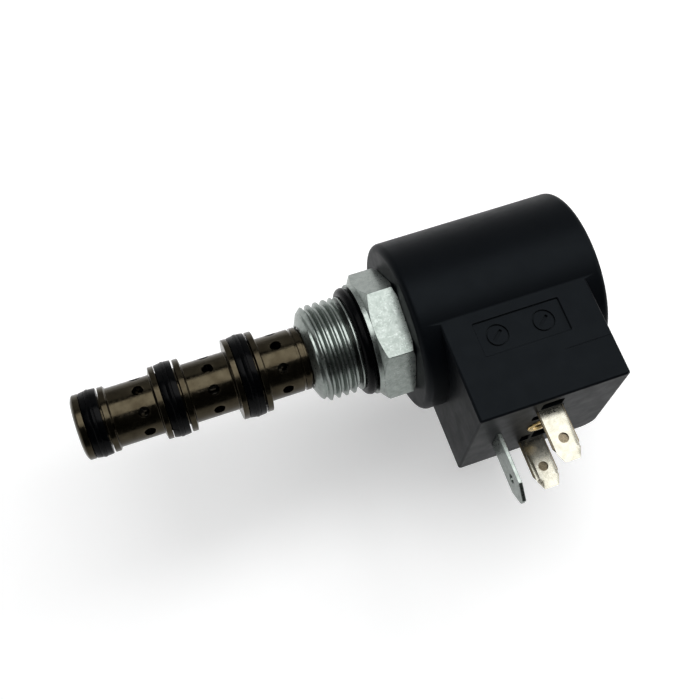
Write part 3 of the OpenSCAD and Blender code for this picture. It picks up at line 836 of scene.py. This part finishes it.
def coil_shell():
    """The plastic moulding round the coil, with the terminal block and everything let into it."""
    low, high = span("coil_shell")
    start, end, radius = low[0], high[0], high[1]
    room_start, room_end, room_r = start + 2.0, end - 3.8, 14.9      # where the winding sits
    front_r, rear_r = 8.3, 8.4
    body = [
        (start, front_r, 0.3), (start, radius, 1.3), (end, radius, 1.2), (end, rear_r, 0.3),
        (room_end, rear_r), (room_end, room_r), (room_start, room_r), (room_start, front_r)
    ]
    obj = loose_object(turned(body, SIDES, 8))
    block_start, block_length = start + 4.3, 29.6
    solid = loose_object(block_solid(block_start, block_start + block_length))
    # The block reaches in nearly to the axis, so the room and the rear opening are cut out of it first
    clear_r = rear_r + 0.6
    hollow = [
        (room_start, 0), (room_start, room_r), (room_end, room_r), (room_end, clear_r),
        (end, clear_r), (end, 0)
    ]
    combine(solid, loose_object(turned(hollow)), "DIFFERENCE")
    combine(obj, solid, "UNION")
    inset = plate_outline((17.35, -16.15), (34.45, -9.45), (0.3,) * 4)
    seam_y, seam_half = -19.5, 0.12
    past_block = block_start + 30
    seam = plate_outline((31.65, seam_y - seam_half), (past_block, seam_y + seam_half), SHARP)
    cuts = [pocket(inset, on_panel, 0.35, 0.12), pocket(seam, on_panel, 0.1, 0.03)]
    date_y = -12.8
    for x in (21.05, 30.25):
        cuts += [date_ring(x, date_y), date_slot(x, date_y)]
    cuts += contact_slots() + pin_face_recesses()
    for tool in cuts:
        combine(obj, loose_object(tool), "DIFFERENCE")
    return obj


def date_ring(x, y):
    """A round groove, as a date insert leaves in a moulding."""
    outer, inner, floor = 2.2, 1.86, PANEL_Z - 0.7
    bm = bmesh.new()
    rows = []
    for radius, level in ((inner, floor), (outer, floor), (outer, PANEL_Z), (inner, PANEL_Z)):
        rows.append([
            bm.verts.new(Vector((x + radius * math.cos(a), y + radius * math.sin(a), level)) * MM)
            for a in turn_angles(64)
        ])
    for near, far in zip(rows, rows[1:] + rows[:1]):
        stitch(bm, near, far)
    return tidy(bm)


def date_slot(x, y):
    """The slot that turns a date insert; the figures round it are left out."""
    half_length, half_width, depth = 1.3, 0.3, 0.8
    bar = plate_outline((-half_length, -half_width), (half_length, half_width), (0.2,) * 4)
    turn = Matrix.Rotation(math.radians(40), 2)
    return extruded([Vector((x, y)) + turn @ p for p in bar], on_panel, [(-depth, 0), (0.5, 0)])


def contact_slots():
    """The slots that the three contacts stand in."""
    gap, half_thick, flare = 0.04, 0.4, 0.1
    half_width, depth = 2.65, 8.0
    ground_half_width, ground_depth = 3.15, 12.58
    slots = []
    for z in (-CONTACT_Z, CONTACT_Z):
        low = (CONTACT_X - half_width - gap, z - half_thick - gap)
        high = (CONTACT_X + half_width + gap, z + half_thick + gap)
        slots.append(pocket(plate_outline(low, high, SHARP), on_pin_face, depth, flare))
    low = (GROUND_X - half_thick - gap, -ground_half_width - gap)
    high = (GROUND_X + half_thick + gap, ground_half_width + gap)
    slots.append(pocket(plate_outline(low, high, SHARP), on_pin_face, ground_depth, flare))
    return slots


def pin_face_recesses():
    """The screw insert's seat, and the pockets that the mould leaves round the contacts."""
    centre = (CONTACT_X, 0)
    flange_r, flange_depth, body_r, body_depth = 2.62, 0.8, 2.32, 7.5
    tools = [
        pocket(disc_outline(centre, flange_r), on_pin_face, flange_depth, 0.1),
        pocket(disc_outline(centre, body_r), on_pin_face, body_depth, 0.02),
    ]
    pocket_depth, notch_depth = 2.5, 2.0
    # Each pocket's near and far side along X, from the contacts' middle, and its two sides along Z
    pockets = [
        (-2.8, -0.8, 4.4, 6.8), (0.8, 2.8, 4.4, 6.8), (-2.8, -0.9, -7.9, -4.9), (-0.3, 3, -7.9, -4)
    ]
    for x0, x1, z0, z1 in pockets:
        outline = plate_outline((CONTACT_X + x0, z0), (CONTACT_X + x1, z1), (0.3,) * 4)
        tools.append(pocket(outline, on_pin_face, pocket_depth))
    low, high = (CONTACT_X - 2.1, CONTACT_Z + 1.1), (CONTACT_X + 2.1, CONTACT_Z + 4.1)
    tools.append(pocket(plate_outline(low, high, (0.4,) * 4), on_pin_face, notch_depth))
    return tools


def blade(outline, thickness, place, edge=0.08):
    """A flat blade with broken edges."""
    half = thickness / 2
    levels = [(-half, -edge), (-half + edge, 0), (half - edge, 0), (half, -edge)]
    return extruded(outline, place, levels)


def leaf_outline(half, shoulder, tip, tip_half, rounds):
    """A contact leaf seen from above: straight sides, shoulders and a narrower tip."""
    root = -19.52
    return rounded([
        (CONTACT_X - half, root), (CONTACT_X + half, root),
        (CONTACT_X + half, shoulder, rounds[0]), (CONTACT_X + tip_half, tip, rounds[1]),
        (CONTACT_X - tip_half, tip, rounds[1]), (CONTACT_X - half, shoulder, rounds[0])
    ])


def contact(z):
    """A contact folded from thin strip: a long upper leaf with broad bevels over a wider lower one."""
    leaf = 0.38

    def on_leaf(a, b, d):
        return a, b, z + d

    def under_leaf(a, b, d):
        return a, b, z - 0.2 + d

    levels = [(0.02, -0.08), (0.1, 0), (0.2, 0), (leaf, (-0.75, -1.7))]
    above = leaf_outline(2.35, -36.0, -37.9, 1.5, (0.5, 0.3))
    upper = loose_object(extruded(above, on_leaf, levels))
    window = extruded(disc_outline((CONTACT_X, -33.5), 0.98), on_leaf, [(-1, 0), (1, 0)])
    combine(upper, loose_object(window), "DIFFERENCE")
    below = leaf_outline(2.65, -34.8, -35.8, 2.1, (0.3, 0.2))
    lower = loose_object(blade(below, leaf, under_leaf))
    return upper, lower


def ground_contact():
    """The single blade across the other two, with a tapered tip and a countersunk hole."""
    low, high = span("ground_contact")
    root, tip, half = high[1], low[1], high[2]
    thickness, taper, tip_half = 0.8, 3, 0.8

    def on_blade(a, b, d):
        return GROUND_X + d, a, b

    outline = rounded([
        (root, -half), (root, half), (tip + taper, half, 0.4),
        (tip, tip_half, 0.3), (tip, -tip_half, 0.3), (tip + taper, -half, 0.4)
    ])
    obj = loose_object(blade(outline, thickness, on_blade, 0.1))
    hole = disc_outline((-35.5, 0), 0.9)
    levels = [(-1, 0.2), (-0.45, 0.2), (-0.3, 0), (0.3, 0), (0.45, 0.2), (1, 0.2)]
    drill = extruded(hole, on_blade, levels)
    return combine(obj, loose_object(drill), "DIFFERENCE")


def screw_insert():
    """Brass insert for the plug's screw: a flange, and a bore with its thread grooves."""
    low, high = span("screw_insert")
    face, length = low[1], high[1] - low[1]
    bore, flange_r, body_r = 1.25, 2.6, 2.3
    flange = 1.08
    corners = [
        (0, 1.6), (0, flange_r, 0.2), (flange, flange_r, 0.05), (flange, body_r),
        (length, body_r, 0.1), (length, bore)
    ]
    pitch, groove_depth = 0.5, 0.24
    for i in range(14):
        at = length - 0.2 - pitch * i
        corners += [(at, bore), (at - pitch / 2, bore + groove_depth)]
    corners.append((0.3, bore))
    bm = turned(corners, 64)
    stand = Matrix.Rotation(math.pi / 2, 4, "Z")
    bm.transform(Matrix.Translation(Vector((CONTACT_X, face, 0)) * MM) @ stand)
    return bm


def winding():
    """The wound wire: a ring whose outer side shows each turn of the outermost layer."""
    low, high = span("winding")
    wire, inner, outer = 0.9, 7.55, high[1]
    turns = math.floor((high[0] - low[0]) / wire)
    step = (high[0] - low[0]) / turns
    arc_steps, shown = 6, 0.94
    corners = [(high[0], inner), (low[0], inner)]
    for i in range(turns):
        middle = low[0] + (i + 0.5) * step
        for k in range(arc_steps + 1):
            angle = math.pi * (k / arc_steps - 0.5) * shown
            fall = wire / 2 * (1 - math.cos(angle))
            corners.append((middle + step / 2 * math.sin(angle), outer - fall))
    return turned(corners, FINE_SIDES)


# ---- the whole valve ----

def build_valve():
    """The pieces that stay still, and the spring."""
    piece(sleeve(), "sleeve_turned", VALVE, OXIDE, ["sleeve"])
    piece(hex_adapter(), "hex_adapter_threaded", VALVE, ZINC, ["hex_adapter"])
    for node in ("nose_oring", "middle_oring", "upper_oring", "seat_oring", "nut_seal"):
        piece(oring(node), node + "_moulded", VALVE, RUBBER, [node])
    for ring, cut_angle in (("nose", 1.35), ("middle", 4.0), ("upper", 5.2)):
        node = ring + "_backup_rings"
        pair = backup_pair(ring, LANDS[ring], cut_angle)
        piece(pair, node + "_split", VALVE, BACKUP, [node])
    piece(pole_piece(), "pole_piece_threaded", VALVE, IRON, ["pole_piece"])
    piece(coil_nut(), "coil_nut_turned", VALVE, ZINC, ["coil_nut"])
    spring = piece(return_spring(), "return_spring_wire", VALVE, WIRE, ["return_spring"])
    squash_spring(spring)


def squash_spring(spring):
    """Clears the spring's modifiers and gives it a mesh of its own."""
    spring.modifiers.clear()
    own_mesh(spring)


def build_coil():
    """The pieces that turn with the coil."""
    piece(coil_shell(), "coil_shell_moulded", COIL, PLASTIC, ["coil_shell"])
    for number, z in ((1, CONTACT_Z), (2, -CONTACT_Z)):
        upper, lower = contact(z)
        node = f"contact_{number}"
        piece(upper, node + "_upper_leaf", COIL, NICKEL, [node])
        piece(lower, node + "_lower_leaf", COIL, CORE, [node])
    piece(ground_contact(), "ground_contact_blade", COIL, ZINC, ["ground_contact"])
    piece(screw_insert(), "screw_insert_turned", COIL, BRASS, ["screw_insert"])
    piece(winding(), "winding_wound", COIL, COPPER, ["winding"])


# ---- studio ----

def floor():
    """A plain pale surface, low enough for the contacts to pass over it as the coil turns."""
    size, clearance = 3.0, 2
    level = (span("ground_contact")[0][1] - clearance) * MM
    bm = bmesh.new()
    bmesh.ops.create_grid(bm, x_segments=1, y_segments=1, size=size)
    obj = loose_object(bm, "floor")
    obj.location.z = level
    s = Surface("floor_paper", (0.86, 0.86, 0.86), 0.7, Emission_Strength=0.28)
    s.shader.inputs["Emission Color"].default_value = (1, 1, 1, 1)
    s.set("Base Color", s.colours(s.noise(40, 2), (0.3, (0.85, 0.85, 0.85)), (0.7, (0.88, 0.88, 0.88))))
    obj.data.materials.append(s.material)


def area_light(name, direction, distance, along, across, power, colour=(1, 1, 1)):
    """A soft rectangular light that looks at the origin from a direction, in metres and watts.
    Its first size runs along X, or along Y for a light that looks along X."""
    light = bpy.data.lights.new(name, "AREA")
    light.shape = "RECTANGLE"
    light.size, light.size_y = along, across
    light.energy = power
    light.color = colour
    back = Vector(direction).normalized()
    level = Vector((0, 1, 0)) if abs(back.x) > 0.7 else Vector((1, 0, 0))
    upward = back.cross(level).normalized()
    obj = bpy.data.objects.new(name, light)
    obj.matrix_world = Matrix.Translation(back * distance) @ Matrix(
        (upward.cross(back), upward, back)).transposed().to_4x4()
    bpy.context.scene.collection.objects.link(obj)


def lights():
    """A large soft box overhead, pale panels on the far side and at both ends, and a dim room."""
    area_light("softbox", (0.10, 0.12, 1.0), 0.6, 0.7, 0.52, 3.45)
    area_light("far_panel", (0.0, 1.0, 0.35), 0.9, 1.8, 0.9, 2.6)
    area_light("coil_end_panel", (1.0, 0.1, 0.6), 0.8, 0.8, 0.5, 2.6)
    area_light("nose_end_panel", (-1.0, 0.0, 0.15), 0.8, 1.2, 0.4, 1.6)
    world = bpy.data.worlds.new("room")
    world.use_nodes = True
    shade = world.node_tree.nodes["Background"]
    shade.inputs["Color"].default_value = (0.95, 0.98, 1.0, 1)
    shade.inputs["Strength"].default_value = 0.05
    bpy.context.scene.world = world


def camera():
    """Looks down on the valve from its nose end and contact side."""
    distance = 221.4
    aim = Vector((-2.64, -1.43, 0))
    forward = Vector((0.17244, 0.34202, -0.92374)).normalized()
    right = Vector((0.93871, -0.34123, 0.04889)).normalized()
    up = right.cross(forward)
    data = bpy.data.cameras.new("camera")
    data.sensor_width = 36
    data.lens = 58.79
    data.clip_start = 0.01
    obj = bpy.data.objects.new("camera", data)
    obj.matrix_world = Matrix.Translation((aim - forward * distance) * MM) @ Matrix(
        (right, up, -forward)).transposed().to_4x4()
    bpy.context.scene.collection.objects.link(obj)
    bpy.context.scene.camera = obj


def colour_response():
    """Plain display colours, with a gamma below one that deepens the blacks."""
    settings = bpy.context.scene.view_settings
    settings.view_transform = "Standard"
    settings.gamma = 0.87


colour_response()
camera()
dress_carried_nodes()
build_valve()
build_coil()
floor()
lights()

bpy.context.view_layer.update()
